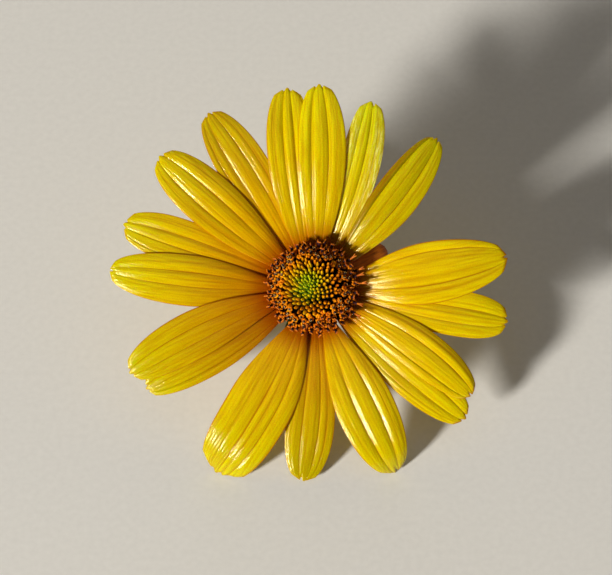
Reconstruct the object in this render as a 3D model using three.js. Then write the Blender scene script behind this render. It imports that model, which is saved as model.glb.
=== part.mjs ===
// A yellow chamomile flower, picked with a short length of stem and laid down with its face up.
// It leans on the cut end of its stem and on the tips of two petals, as a picked daisy does.
// Units are millimetres and +Z is up. The surface it lies on is z = 0, and the origin is the
// middle of the flower's box on that surface.
//
// The flower is modelled in a frame of its own, the face frame, and turned as a whole at the end:
// x runs to the right of the face, y to its top, and z out of the face, along the stem's axis.
// Angles run counter-clockwise from +x, as seen by someone who looks straight at the face.
import * as THREE from 'three';

// Driving dimensions
const DISC_RADIUS = 7.9; // the round middle of the flower, over the tips of its outer florets
const DISC_TOP = 6.4; // the middle of the disc stands this far above the petals' roots
const DISC_RIM = 2.9; // and its rim this far
const RECEPTACLE_RADIUS = 5.2;
const RECEPTACLE_FOOT = -6.2; // it ends here, on the stem
const PETAL_ROOT = 5.6; // the petals' roots lie on a ring of this radius, round the receptacle
const PETAL_THICKNESS = 0.36;
const CLAW_WIDTH = 1.7; // a petal's narrow root
const STEM_LENGTH = 13.5;
const STEM_RADIUS = 1.35;
const STEM_SWELLING = 0.4; // its radius grows by this much under the head
const STEM_BOW = 1.0; // its middle stands this far out of line
const GAP = 0.3; // between pieces that lie against each other

// At rest the face leans this far from level, towards -Y
const LEAN_DEG = 33.4;

const DEG = Math.PI / 180;
const point = (x, y, z) => new THREE.Vector3(x, y, z);
const mix = (a, b, t) => a + (b - a) * t;
const polar = (radius, angle, z) => point(radius * Math.cos(angle), radius * Math.sin(angle), z);

// What most petals share
const PLAIN_PETAL = {
  waist: 1, // above 1 for a petal that narrows early towards its root
  blunt: 2.2, // roundness of the end: 2 is an ellipse, and more is blunter
  end: 0.22, // width of the toothed end, as a share of the petal's width
  lift: 0, // height over the lowest petals, so that neighbours lie over and under each other
  sag: 0, // how far the tip bends down
  shift: 0, // moves the two grooves sideways, as a share of the half width
  hook: 1, // above 1 for a petal that turns sideways only near its tip
};
// The petals, counter-clockwise from the right of the face. Root and tip are their angles in
// degrees, reach goes from the flower's axis to the tip, and each is widest at the radius full.
const PETALS = [
  { root: 6, tip: 9.3, reach: 31.5, width: 9.9, full: 18.9, blunt: 1.9, lift: 1.7, shift: -0.1 },
  { root: 44, tip: 50.5, reach: 31.2, width: 7.2, full: 20.0, waist: 1.3, blunt: 2.0, lift: 0.9, shift: -0.1 },
  { root: 64, tip: 72.6, reach: 31.4, width: 6.4, full: 21.6, waist: 1.2, end: 0.3 },
  { root: 83, tip: 88.3, reach: 32.7, width: 7.7, full: 22.4, blunt: 2.1, end: 0.25, lift: 2.3 },
  { root: 102.5, tip: 97.3, reach: 32.4, width: 7.5, full: 22.4, end: 0.3, lift: 1.25, shift: -0.1 },
  { root: 117, tip: 120.9, reach: 32.8, width: 8.0, full: 22.0, waist: 1.2, blunt: 2.1, lift: 0.2 },
  { root: 141.5, tip: 139.3, reach: 32.5, width: 8.5, full: 22.0, waist: 1.3, lift: 1.1 },
  { root: 160, tip: 161.2, reach: 32.1, width: 7.5, full: 23.0, waist: 1.2, blunt: 2.1, end: 0.3, shift: 0.1 },
  { root: 178, tip: 174.8, reach: 32.7, width: 8.2, full: 20.0, waist: 1.3, end: 0.16, lift: 1.1 },
  { root: 197, tip: 204.8, reach: 32.3, width: 7.7, full: 20.8, waist: 1.2, end: 0.25, lift: 2.0, shift: 0.1 },
  { root: 213.5, tip: 211, reach: 31.2, width: 6.9, full: 19.2, end: 0.25, lift: 0.5 },
  { root: 249.5, tip: 242.2, reach: 33.5, width: 10.6, full: 20.8, blunt: 2.6, end: 0.36, lift: 1.4, sag: 2.2 },
  { root: 272.5, tip: 266.8, reach: 30.9, width: 7.8, full: 22.4, waist: 1.2, blunt: 2.1, sag: -0.6 },
  { root: 293, tip: 294.3, reach: 32.4, width: 9.4, full: 21.1, waist: 1.4, blunt: 2.1, lift: 1.4, sag: 2.3 },
  { root: 319, tip: 319.5, reach: 32.2, width: 7.7, full: 20.8, end: 0.25, lift: 0.3 },
  { root: 333.5, tip: 326, reach: 30.6, width: 7.0, full: 20.4, lift: 1.5, hook: 1.4 },
  { root: 350, tip: 350.4, reach: 31.7, width: 7.4, full: 23.5, waist: 1.3, blunt: 2.4, shift: 0.1 },
].map((petal) => ({ ...PLAIN_PETAL, ...petal }));
const PETAL_RISE = 3.0; // a petal climbs this far from its root to its highest place
const PETAL_CREST = 0.6; // which is this share of the way to the tip
const PETAL_FOOT = -1.3; // height of the lowest petals' roots
const PETAL_ARCH = 0.3; // its middle stands this far over its edges
const PLEAT = 0.26; // depth of its two lengthwise grooves
const NOTCH = 0.7; // depth of the two notches between the teeth at its tip
const ROOT_CROWDING = 0.75; // lift at the roots, as a share of lift further out

// One petal never grew out: it is short, and its round end droops between its neighbours.
const STUNTED = { angle: 28, reach: 13.3, width: 3.6, lift: 0.15, rise: 0.5, drop: 2.6, arch: 0.35 };
const STUNTED_ROUNDING = 0.6; // its end rounds off from this share of its length
const STUNTED_END = 0.3; // to this share of its width

// Green bracts behind the petals, in two rings
const BRACTS = 8;
// first is the angle of a ring's first bract, and path the radii and heights that its middle follows
const OUTER_BRACT = {
  first: 20,
  width: 3.0,
  path: [[2.7, -6.3], [4.8, -5.15], [7.2, -3.8], [8.8, -3.0], [9.8, -2.6]],
};
const INNER_BRACT = {
  first: 42.5,
  width: 2.9,
  path: [[3.2, -5.3], [4.4, -4.45], [5.45, -3.5], [6.1, -2.7], [6.35, -2.3]],
};
const BRACT_THICKNESS = 0.36;
const BRACT_TROUGH = 0.3; // its edges stand this far over its middle
const BRACT_TAPER = [0.13, 0.93]; // the stretch of a sine's half wave that its width follows

// The disc's florets, from the youngest buds in the middle to the open florets at the rim. Each
// ring reaches from one share of the disc's radius to another, and holds that many florets round.
const FLORET_RINGS = [
  { name: 'floret_buds_green', from: 0, to: 0.26, florets: 8, colour: 0x8fa32a },
  { name: 'floret_buds_yellow', from: 0.26, to: 0.46, florets: 21, colour: 0xb9a11c },
  { name: 'floret_buds_orange', from: 0.46, to: 0.64, florets: 26, colour: 0xd08a12 },
  { name: 'florets_opening', from: 0.64, to: 0.82, florets: 34, colour: 0xb0600f },
  { name: 'florets_open', from: 0.82, to: 1, florets: 34, colour: 0x9a4d10 },
];
// Heights between the receptacle, 0, and the florets' tips, 1
const FLORET_FOOT = 0.05;
const FLORET_SHOULDER = 0.8;
const FLORET_BUMP = 0.12; // depth of the dips between neighbours
const RECEPTACLE_TOP = 4.3;
const RECEPTACLE_RIM = 1.2;
// The florets' spiral starts a little up and to the left of the disc's middle.
const DISC_HEART = [-0.8, 0.8];

// A closed solid from rows of points that form a sheet's top and its underside.
function sheet(top, under) {
  const rows = top.length;
  const columns = top[0].length;
  const index = (side, i, j) => (side * rows + i) * columns + j;
  const faces = [];
  const quad = (a, b, c, d) => faces.push(a, b, c, a, c, d);
  for (let i = 0; i + 1 < rows; i++) {
    for (let j = 0; j + 1 < columns; j++) {
      quad(index(0, i, j), index(0, i + 1, j), index(0, i + 1, j + 1), index(0, i, j + 1));
      quad(index(1, i, j), index(1, i, j + 1), index(1, i + 1, j + 1), index(1, i + 1, j));
    }
    quad(index(0, i + 1, 0), index(0, i, 0), index(1, i, 0), index(1, i + 1, 0));
    const last = columns - 1;
    quad(index(0, i, last), index(0, i + 1, last), index(1, i + 1, last), index(1, i, last));
  }
  for (let j = 0; j + 1 < columns; j++) {
    const last = rows - 1;
    quad(index(0, 0, j), index(0, 0, j + 1), index(1, 0, j + 1), index(1, 0, j));
    quad(index(0, last, j + 1), index(0, last, j), index(1, last, j), index(1, last, j + 1));
  }
  return geometryOf([...top.flat(), ...under.flat()], faces);
}

// A closed solid from rings of points. Its ends are closed by a fan, or, if it is a loop, the last
// ring joins the first.
function loft(rings, loop = false) {
  const around = rings[0].length;
  const faces = [];
  const joined = loop ? rings.length : rings.length - 1;
  for (let i = 0; i < joined; i++) {
    const next = (i + 1) % rings.length;
    for (let k = 0; k < around; k++) {
      const [a, b] = [i * around + k, i * around + ((k + 1) % around)];
      const [c, d] = [next * around + ((k + 1) % around), next * around + k];
      faces.push(a, b, c, a, c, d);
    }
  }
  const points = rings.flat();
  const close = (i, outward) => {
    const middle = rings[i].reduce((sum, p) => sum.add(p), point(0, 0, 0)).divideScalar(around);
    points.push(middle);
    for (let k = 0; k < around; k++) {
      const side = [i * around + k, i * around + ((k + 1) % around)];
      faces.push(points.length - 1, ...(outward ? side : side.reverse()));
    }
  };
  if (!loop) {
    close(0, false);
    close(rings.length - 1, true);
  }
  return geometryOf(points, faces);
}

function geometryOf(points, faces) {
  const geometry = new THREE.BufferGeometry().setFromPoints(points).setIndex(faces);
  geometry.computeVertexNormals();
  return geometry;
}

function named(name, geometry, colour, roughness) {
  const material = new THREE.MeshStandardMaterial({ color: colour, roughness, metalness: 0 });
  const mesh = new THREE.Mesh(geometry, material);
  mesh.name = name;
  return mesh;
}

// Lays a sheet along a line: middle(u, v) is the line, and across(u, v) gives the offset to the
// side and the height over the line. u runs from 0 to 1 along it, and v from -1 to 1 across. The
// thickness is laid on square to the sheet, half of it on each side.
function strip(rows, columns, middle, across, thickness) {
  const step = 1e-3;
  const at = (u, v) => {
    const behind = middle(Math.max(u - step, 0), v);
    const ahead = middle(Math.min(u + step, 1), v).sub(behind).normalize();
    const side = point(0, 0, 1).cross(ahead).normalize();
    const up = ahead.clone().cross(side);
    const [aside, height] = across(u, v);
    return middle(u, v).addScaledVector(side, aside).addScaledVector(up, height);
  };
  const top = [];
  const under = [];
  for (let i = 0; i <= rows; i++) {
    top.push([]);
    under.push([]);
    for (let j = 0; j <= columns; j++) {
      const [u, v] = [i / rows, mix(-1, 1, j / columns)];
      const along = at(Math.min(u + step, 1), v).sub(at(Math.max(u - step, 0), v));
      const over = at(u, Math.min(v + step, 1)).sub(at(u, Math.max(v - step, -1)));
      const normal = along.cross(over).normalize();
      top[i].push(at(u, v).addScaledVector(normal, thickness / 2));
      under[i].push(at(u, v).addScaledVector(normal, -thickness / 2));
    }
  }
  return sheet(top, under);
}

// Width of a petal at a distance from the flower's axis
function petalWidth(p, radius) {
  if (radius <= p.full) {
    const back = (p.full - radius) / (p.full - PETAL_ROOT);
    return mix(CLAW_WIDTH, p.width, Math.max(Math.cos(back * 90 * DEG), 0) ** p.waist);
  }
  const cut = (1 - p.end ** p.blunt) ** (1 / p.blunt);
  const out = Math.min((cut * (radius - p.full)) / (p.reach - p.full), cut);
  return p.width * (1 - out ** p.blunt) ** (1 / p.blunt);
}

// The two grooves divide a petal into three lengthwise folds, which end in its teeth.
function pleats(p, v) {
  return Math.cos(3 * Math.PI * (v - p.shift * (1 - v * v)));
}

function petalGeometry(p) {
  const endAt = (v) => {
    const corner = (p.end * p.width * v * v) / 2;
    const notch = NOTCH * Math.max(-pleats(p, v), 0) ** 2 * (1 - v ** 4);
    return p.reach - corner - notch;
  };
  const radiusAt = (u, v) => mix(PETAL_ROOT, endAt(v), u);
  const middle = (u, v) => {
    const radius = radiusAt(u, v);
    const share = (radius - PETAL_ROOT) / (p.reach - PETAL_ROOT);
    const angle = mix(p.root, p.tip, share ** p.hook) * DEG;
    const climb = 1 - ((PETAL_CREST - share) / PETAL_CREST) ** 2;
    const bend = p.sag * Math.max((share - PETAL_CREST) / (1 - PETAL_CREST), 0) ** 2;
    const lift = p.lift * mix(ROOT_CROWDING, 1, Math.min(2 * share, 1));
    return polar(radius, angle, PETAL_FOOT + lift + PETAL_RISE * climb - bend);
  };
  const across = (u, v) => {
    const width = petalWidth(p, radiusAt(u, v));
    const fullness = width / p.width;
    const height = -PETAL_ARCH * fullness * v * v + (PLEAT / 2) * fullness * pleats(p, v);
    return [(v * width) / 2, height];
  };
  return strip(9, 6, middle, across, PETAL_THICKNESS);
}

function stuntedPetalGeometry() {
  const { angle, reach, width, lift, rise, drop, arch } = STUNTED;
  const middle = (u) => {
    const turn = u * 90 * DEG;
    const radius = mix(PETAL_ROOT, reach, Math.sin(turn));
    const z = PETAL_FOOT + lift + rise * Math.sin(2 * turn) - drop * (1 - Math.cos(turn));
    return polar(radius, angle * DEG, z);
  };
  const across = (u, v) => {
    const grown = Math.sin(Math.min(u / STUNTED_ROUNDING, 1) * 90 * DEG);
    const past = Math.max(u - STUNTED_ROUNDING, 0) / (1 - STUNTED_ROUNDING);
    const rounded = Math.sqrt(1 - past ** 2 * (1 - STUNTED_END ** 2));
    return [(v * mix(CLAW_WIDTH, width, grown) * rounded) / 2, -arch * v * v];
  };
  return strip(6, 4, middle, across, PETAL_THICKNESS);
}

function bractGeometry(kind, angle) {
  const curve = new THREE.CatmullRomCurve3(kind.path.map(([radius, z]) => polar(radius, angle, z)));
  const middle = (u) => curve.getPoint(u);
  const across = (u, v) => {
    const width = kind.width * Math.sin(mix(...BRACT_TAPER, u) * Math.PI);
    return [(v * width) / 2, BRACT_TROUGH * v * v];
  };
  return strip(5, 4, middle, across, BRACT_THICKNESS);
}

// The receptacle: the green cup that all the pieces grow from, with a domed top for the florets
function receptacleGeometry() {
  const profile = [
    [0, RECEPTACLE_FOOT], [1.7, RECEPTACLE_FOOT], [2.4, -5.2], [3.6, -4.1], [4.7, -2.9], [5.1, -1.8],
    [RECEPTACLE_RADIUS, 0.4], [RECEPTACLE_RADIUS - 0.1, RECEPTACLE_RIM],
  ].map(([radius, z]) => new THREE.Vector2(radius, z));
  const steps = 4;
  for (let i = 1; i <= steps; i++) {
    const share = 1 - i / steps;
    profile.push(new THREE.Vector2((RECEPTACLE_RADIUS - 0.1) * share, receptacleHeight(share)));
  }
  return new THREE.LatheGeometry(profile, 24).rotateX(Math.PI / 2);
}

// Heights of the receptacle's domed top, and of the florets' tips, at a share of the disc's radius
const receptacleHeight = (share) => mix(RECEPTACLE_TOP, RECEPTACLE_RIM, share ** 2);
const discHeight = (share) => mix(DISC_TOP, DISC_RIM, share ** 2.2);

// A place in the disc: at a share of its radius, and raised from the receptacle (0) to the tips (1)
function inDisc(share, raised, angle) {
  const radius = share * mix(RECEPTACLE_RADIUS - 0.3, DISC_RADIUS, raised);
  const z = mix(receptacleHeight(share) + GAP, discHeight(share), raised);
  const drawn = (1 - share ** 2) * raised;
  return polar(radius, angle, z).add(point(DISC_HEART[0] * drawn, DISC_HEART[1] * drawn, 0));
}

// A ring of florets side by side: each has a tip, and dips part it from its neighbours. The
// youngest buds close over the middle of the disc, so theirs is a dome.
function floretRingGeometry({ from, to, florets }) {
  const halfGap = GAP / 2 / DISC_RADIUS;
  const inner = from + halfGap;
  const outer = to < 1 ? to - halfGap : 1;
  const crest = (from + to) / 2;
  const columns = Array.from({ length: 2 * florets }, (_, k) => {
    const shoulder = FLORET_SHOULDER - (k % 2) * FLORET_BUMP;
    const inside = [[inner, FLORET_FOOT], [inner, shoulder]];
    const outside = [[crest, 1], [outer, shoulder], [outer, FLORET_FOOT]];
    const section = from > 0 ? [...inside, ...outside] : outside.reverse();
    return section.map(([share, raised]) => inDisc(share, raised, (k * Math.PI) / florets));
  });
  if (from > 0) {
    return loft(columns, true);
  }
  return loft(columns[0].map((_, i) => columns.map((column) => column[i])));
}

// The stem bows a little and swells under the head. Its slanted cut lies flat on the surface.
function stemGeometry() {
  const rings = [];
  const [rows, around] = [8, 12];
  for (let i = 0; i <= rows; i++) {
    const share = i / rows;
    const bow = STEM_BOW * Math.sin(share * Math.PI);
    const radius = STEM_RADIUS + STEM_SWELLING * share ** 8;
    const slope = i === 0 ? -Math.tan(LEAN_DEG * DEG) : 0;
    rings.push(Array.from({ length: around }, (_, k) => {
      const ring = polar(radius, (k / around) * 2 * Math.PI, 0);
      const z = RECEPTACLE_FOOT - GAP - STEM_LENGTH * (1 - share) + slope * ring.y;
      return ring.add(point(bow, 0, z));
    }));
  }
  return loft(rings);
}

function makeFlower() {
  const flower = new THREE.Group();
  PETALS.forEach((p, i) => {
    const number = String(i + 1).padStart(2, '0');
    flower.add(named(`ray_petal_${number}`, petalGeometry(p), 0xe0b400, 0.45));
  });
  flower.add(named('ray_petal_stunted', stuntedPetalGeometry(), 0xb06a10, 0.5));
  for (const [series, kind] of [['outer', OUTER_BRACT], ['inner', INNER_BRACT]]) {
    for (let i = 0; i < BRACTS; i++) {
      const angle = (kind.first + (i * 360) / BRACTS) * DEG;
      flower.add(named(`bract_${series}_${i + 1}`, bractGeometry(kind, angle), 0x5d7a2c, 0.6));
    }
  }
  flower.add(named('receptacle', receptacleGeometry(), 0x6f8a3a, 0.6));
  for (const ring of FLORET_RINGS) {
    flower.add(named(ring.name, floretRingGeometry(ring), ring.colour, 0.6));
  }
  flower.add(named('stem', stemGeometry(), 0x55702a, 0.55));
  return flower;
}

// Leans the flower to how it lies, and sets it on the surface with its box centred on the origin.
function laidDown(flower) {
  flower.rotation.x = LEAN_DEG * DEG;
  const part = new THREE.Group();
  part.add(flower);
  part.updateMatrixWorld(true);
  const box = new THREE.Box3().setFromObject(part, true);
  flower.position.set(-(box.min.x + box.max.x) / 2, -(box.min.y + box.max.y) / 2, -box.min.z);
  return part;
}

export default laidDown(makeFlower());
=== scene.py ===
# %% [markdown]
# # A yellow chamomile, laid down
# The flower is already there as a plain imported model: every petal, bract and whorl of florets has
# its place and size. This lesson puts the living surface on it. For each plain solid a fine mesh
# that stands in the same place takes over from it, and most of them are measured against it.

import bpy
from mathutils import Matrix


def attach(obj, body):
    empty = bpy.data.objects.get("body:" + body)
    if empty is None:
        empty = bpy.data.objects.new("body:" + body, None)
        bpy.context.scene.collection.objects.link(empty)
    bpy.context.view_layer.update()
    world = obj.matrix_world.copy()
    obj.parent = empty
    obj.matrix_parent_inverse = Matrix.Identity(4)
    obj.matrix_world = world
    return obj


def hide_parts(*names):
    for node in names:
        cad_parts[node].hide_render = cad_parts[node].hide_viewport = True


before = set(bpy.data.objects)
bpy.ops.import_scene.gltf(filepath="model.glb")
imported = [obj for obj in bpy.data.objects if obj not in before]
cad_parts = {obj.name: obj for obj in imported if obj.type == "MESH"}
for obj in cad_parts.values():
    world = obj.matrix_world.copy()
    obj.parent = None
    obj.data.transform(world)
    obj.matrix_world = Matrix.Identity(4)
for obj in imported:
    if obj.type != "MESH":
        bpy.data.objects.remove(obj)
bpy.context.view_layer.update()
print(len(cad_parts), "plain solids in the frame")

# %% [markdown]
# The flower rests on its cut stem and on two petal tips, so its face leans. Everything on it is
# easier to describe in a frame of its own, the face frame, in millimetres: x runs to the right of
# the face, y to its top and z out of the face. The receptacle is a turned shape, so its highest
# point along the face's axis is on that axis, and that one point ties the two frames together.

# %% The face frame
import math

import bpy
import numpy as np
from mathutils import Matrix, Vector
from mathutils.bvhtree import BVHTree

MM = 0.001
LEAN = math.radians(33.4)
RECEPTACLE_TOP = 4.3  # height of the receptacle's top in the face frame
AXES = np.array([
    [1, 0, 0],
    [0, math.cos(LEAN), math.sin(LEAN)],
    [0, -math.sin(LEAN), math.cos(LEAN)],
])
cup_points = np.array([v.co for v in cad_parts["receptacle"].data.vertices])
cup_top = cup_points[np.argmax(cup_points @ AXES[2])]
ORIGIN = cup_top - RECEPTACLE_TOP * MM * AXES[2]


def to_world(points):
    """Points of the face frame, in millimetres, as places in the scene, in metres."""
    return ORIGIN + np.asarray(points) * MM @ AXES


print("the face frame's origin stands", round(ORIGIN[2] / MM, 2), "mm above the floor")

# %% [markdown]
# A macro photographer looks straight down the flower's axis, from far enough away that near and
# far petals keep their sizes. A long lens does the same here. The photograph is 612 pixels wide,
# one pixel is 0.16 mm on the flower, and the flower's axis meets it a little right of its middle.

# %% The camera
FRAME_WIDTH = 612
PIXEL = 0.16
LENS = 150
SENSOR = 36
OFF_CENTRE = (-7 * PIXEL, 1 * PIXEL, 0)  # from the flower's axis to the middle of the picture
FOCUS_HEIGHT = 1.5  # the petals' own height in the face frame
distance = LENS * FRAME_WIDTH * PIXEL / SENSOR

camera_data = bpy.data.cameras.new("macro_lens")
camera_data.lens = LENS
camera_data.sensor_width = SENSOR
camera_data.clip_start = 0.01
camera = bpy.data.objects.new("macro_camera", camera_data)
bpy.context.scene.collection.objects.link(camera)
turn = Matrix(AXES.T.tolist()).to_4x4()
place = to_world(np.add(OFF_CENTRE, (0, 0, FOCUS_HEIGHT + distance)))
camera.matrix_world = Matrix.Translation(Vector(place)) @ turn
bpy.context.scene.camera = camera
print("the camera stands", round(distance), "mm from the petals")

# %% [markdown]
# Colours are noted as they look on a screen, as sRGB hex values, and Blender wants them linear.
# Each material is a Principled shader and a few nodes around it. One function adds a node, fills
# in its settings and joins its inputs to other nodes.

# %% Colour and nodes
def linear(colour):
    """An sRGB hex colour as linear red, green, blue and alpha."""
    parts = [int(colour[i:i + 2], 16) / 255 for i in (1, 3, 5)]
    return [c / 12.92 if c <= 0.04045 else ((c + 0.055) / 1.055) ** 2.4 for c in parts] + [1]


def node(tree, kind, inputs=None, stops=(), **settings):
    """Adds a node. An input is a value, a hex colour, or the (node, output) that feeds it. Stops
    are the places, from 0 to 1, and the hex colours of a colour ramp."""
    made = tree.nodes.new(kind)
    for name, value in settings.items():
        setattr(made, name, value)
    for k, (position, colour) in enumerate(stops):
        band = made.color_ramp.elements
        stop = band[k] if k < len(band) else band.new(position)
        stop.position = position
        stop.color = linear(colour)
    for name, value in (inputs or {}).items():
        if isinstance(value, tuple) and isinstance(value[0], bpy.types.Node):
            tree.links.new(value[0].outputs[value[1]], made.inputs[name])
        elif isinstance(value, str):
            made.inputs[name].default_value = linear(value)
        else:
            made.inputs[name].default_value = value
    return made


def new_material(name):
    """An empty material and its node tree."""
    material = bpy.data.materials.new(name)
    material.use_nodes = True
    material.node_tree.nodes.clear()
    return material, material.node_tree


def finished(material, shader):
    """Joins the shader to the material's output."""
    node(material.node_tree, "ShaderNodeOutputMaterial", {"Surface": (shader, "BSDF")})
    return material


def shaded(tree, colour, pattern, strength, *stops):
    """A colour darkened by a pattern, as far as its strength says. The stops colour the pattern."""
    shades = node(tree, "ShaderNodeValToRGB", {"Fac": pattern}, stops)
    mixed = node(tree, "ShaderNodeMix", {
        "Factor": strength, 6: colour, 7: (shades, "Color"),
    }, data_type="RGBA", blend_type="MULTIPLY")
    return mixed, 2


print("a grey that looks half bright has", round(linear("#808080")[0], 2), "of the light of white")

# %% [markdown]
# A floor of matte pale paper shows the flower's shadow and nothing else. One wide plane is enough
# for it, and a faint grain keeps it from looking empty.

# %% Floor
FLOOR_SIDE = 6
PAPER_GRAIN = 1.0  # mm; real paper's grain is finer than the picture shows


def paper_floor():
    """Matte paper: rough, so that it has no gloss, and not quite even in its white."""
    material, tree = new_material("pale_matte_paper")
    grain = node(tree, "ShaderNodeTexNoise", {"Scale": FLOOR_SIDE / (PAPER_GRAIN * MM), "Detail": 3})
    tone = node(tree, "ShaderNodeValToRGB", {"Fac": (grain, "Fac")}, [(0.3, "#F0EEEA"), (0.7, "#F5F3EF")])
    shader = node(tree, "ShaderNodeBsdfPrincipled", {"Base Color": (tone, "Color"), "Roughness": 0.9})
    return finished(material, shader)


bpy.ops.mesh.primitive_plane_add(size=FLOOR_SIDE)
floor = bpy.context.object
floor.name = "floor"
floor.data.materials.append(paper_floor())
print("the floor is", FLOOR_SIDE, "m wide")

# %% [markdown]
# One soft lamp at the left lights the petals from the side, so that their folds show and their wax
# shines. Two wide, weak lamps and the pale room fill in the shadows. A sun lamp could light the
# petals too, but its hard shadows would cut them up. Lamps are placed by their direction in the
# face frame, because that is how their light meets the petals.

# %% Light
LAMPS = {  # azimuth and elevation in degrees, distance and side in metres, watts, colour
    "key_lamp": (206, 44, 2.4, 0.32, 74, "#FFFBF2"),
    "top_lamp": (90, 60, 1.0, 0.9, 0.5, "#FFF8EC"),
    "back_lamp": (90, -12, 1.0, 0.8, 1.6, "#FFF8EC"),
}
ROOM_COLOUR, ROOM_LIGHT = "#F0EAE0", 0.06


def soft_lamp(name, azimuth, elevation, distance_m, side, watts, colour):
    """A square lamp that faces the flower."""
    data = bpy.data.lights.new(name, "AREA")
    data.size = side
    data.energy = watts
    data.color = linear(colour)[:3]
    lamp = bpy.data.objects.new(name, data)
    bpy.context.scene.collection.objects.link(lamp)
    flat = math.cos(math.radians(elevation))
    way = np.array([
        flat * math.cos(math.radians(azimuth)),
        flat * math.sin(math.radians(azimuth)),
        math.sin(math.radians(elevation)),
    ]) @ AXES
    lamp.location = Vector(ORIGIN + way * distance_m)
    lamp.rotation_euler = Vector(way).to_track_quat("Z", "Y").to_euler()
    print(name, "gives", watts, "W")


for name, settings in LAMPS.items():
    soft_lamp(name, *settings)
world = bpy.data.worlds.new("pale_room")
world.use_nodes = True
world.node_tree.nodes["Background"].inputs["Color"].default_value = linear(ROOM_COLOUR)
world.node_tree.nodes["Background"].inputs["Strength"].default_value = ROOM_LIGHT
bpy.context.scene.world = world
bpy.context.scene.view_settings.view_transform = "Standard"

# %% [markdown]
# Petals, bracts and florets all start as grids of points. A sheet is two such grids, a top and an
# underside, joined round the rim so that it is a closed skin. A Solidify modifier could thicken a
# single grid, but these sheets are thinner at their edges. Each piece also carries numbers on its
# points, such as how far along the petal a point lies, and the materials read them.

# %% Meshes
def sheet_faces(rows, columns):
    """Faces of a closed sheet: its top grid, its underside and the rim between them."""
    grid = np.arange(rows * columns).reshape(rows, columns)
    under = grid + rows * columns
    faces = []
    for g, way in ((grid, 1), (under, -1)):
        quads = np.stack([g[:-1, :-1], g[1:, :-1], g[1:, 1:], g[:-1, 1:]], -1).reshape(-1, 4)
        faces.append(quads[:, ::way])
    rim = np.concatenate([grid[0, :-1], grid[:-1, -1], grid[-1, :0:-1], grid[:0:-1, 0]])
    low = rim + rows * columns
    faces.append(np.stack([rim, np.roll(rim, -1), np.roll(low, -1), low], -1))
    return np.concatenate(faces)


def new_piece(name, points, faces, material, slot, replaced, **fields):
    """A smooth mesh in the face frame that rides on the flower and replaces plain solids."""
    mesh = bpy.data.meshes.new(name)
    mesh.from_pydata(to_world(points).tolist(), [], [list(map(int, f)) for f in faces])
    for field, values in fields.items():
        values = np.asarray(values, np.float32)
        kind = "FLOAT" if values.ndim == 1 else "FLOAT_VECTOR"
        attribute = mesh.attributes.new(field, kind, "POINT")
        attribute.data.foreach_set("value" if values.ndim == 1 else "vector", values.ravel())
    mesh.shade_smooth()
    mesh.materials.append(material)
    piece = bpy.data.objects.new(name, mesh)
    bpy.context.scene.collection.objects.link(piece)
    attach(piece, "root")
    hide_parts(*replaced)
    return piece


def mix(a, b, t):
    return a + (b - a) * t


def smooth(low, high, x):
    """Rises softly from 0 at low to 1 at high."""
    t = np.clip((x - low) / (high - low), 0, 1)
    return t * t * (3 - 2 * t)


print("a sheet of 3 by 3 points has", len(sheet_faces(3, 3)), "faces")

# %% [markdown]
# Petals and bracts are strips: a line runs along each, and the sheet is laid across it, with an
# offset to the side and a height over the line at every place. The thickness goes on last, half of
# it on each side, and thins out towards the sides and the tip.

# %% Strips
STEP = 1e-3  # of the length, to find the line's direction


def unit(vectors):
    return vectors / np.linalg.norm(vectors, axis=-1, keepdims=True)


def strip(u, v, middle, aside, height, half_thickness):
    """Top and underside points of a sheet. middle(u, v) is its line, u runs along, v across."""
    ahead = unit(middle(np.minimum(u + STEP, 1), v) - middle(u - STEP, v))
    side = unit(np.cross([0, 0, 1], ahead))
    up = np.cross(ahead, side)
    surface = middle(u, v) + side * aside[..., None] + up * height[..., None]
    normal = unit(np.cross(np.gradient(surface, axis=0), np.gradient(surface, axis=1)))
    half = half_thickness[..., None] * normal
    return np.concatenate([(surface + half).reshape(-1, 3), (surface - half).reshape(-1, 3)])


def thinned(u, v, sides, tip, tip_from):
    """The thickness as a share of the full one: sides and tip are what is left of it there."""
    return (sides + (1 - sides) * np.sqrt(1 - v**4)) * (1 - (1 - tip) * smooth(tip_from, 1, u))


def both_sides(values):
    """Numbers of a grid, once for its top and once for its underside."""
    values = np.asarray(values, float)
    flat = values.reshape(-1) if values.ndim == 2 else values.reshape(-1, 3)
    return np.concatenate([flat, flat])


def new_sheet(name, shape, points, material, slot, solid, **fields):
    """A piece made of one sheet, whose numbers hold for its top and for its underside."""
    fields = {field: both_sides(values) for field, values in fields.items()}
    return new_piece(name, points, sheet_faces(*shape), material, slot, [solid], **fields)


def polar(radius, angle, z):
    """Places at a distance from the flower's axis, at an angle round it and at a height."""
    return np.stack([radius * np.cos(angle), radius * np.sin(angle), z + 0 * radius], -1)


print("half way to the side,", round(float(thinned(0, 0.5, 0.25, 1, 0.9)), 2), "of the thickness is left")

# %% [markdown]
# ## Petals
# A ray petal is a long strap with a narrow root. Three lengthwise folds run along it, with a crease
# between each two, and end in small teeth. Its angles, lengths and widths are those of the plain
# petal. The rest is look: how it rises and sags, folds and rolls, where its teeth are parted, and
# its colours. Places across a petal run from -1 at its clockwise edge to 1 at its anticlockwise one,
# and lengths are in millimetres.

# %% The petals' measures
PETAL_ROOT = 5.6  # distance of the roots from the flower's axis
PETAL_FOOT = -1.3  # their height
PETAL_RISE = 3.0  # from there to the crest
PETAL_ARCH = 0.1  # by how much the edges hang
PETAL_THICKNESS = 0.34
CLAW_WIDTH = 2.2  # width of the root
SPRING_END = 0.42  # share of the length over which the root springs up

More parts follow.
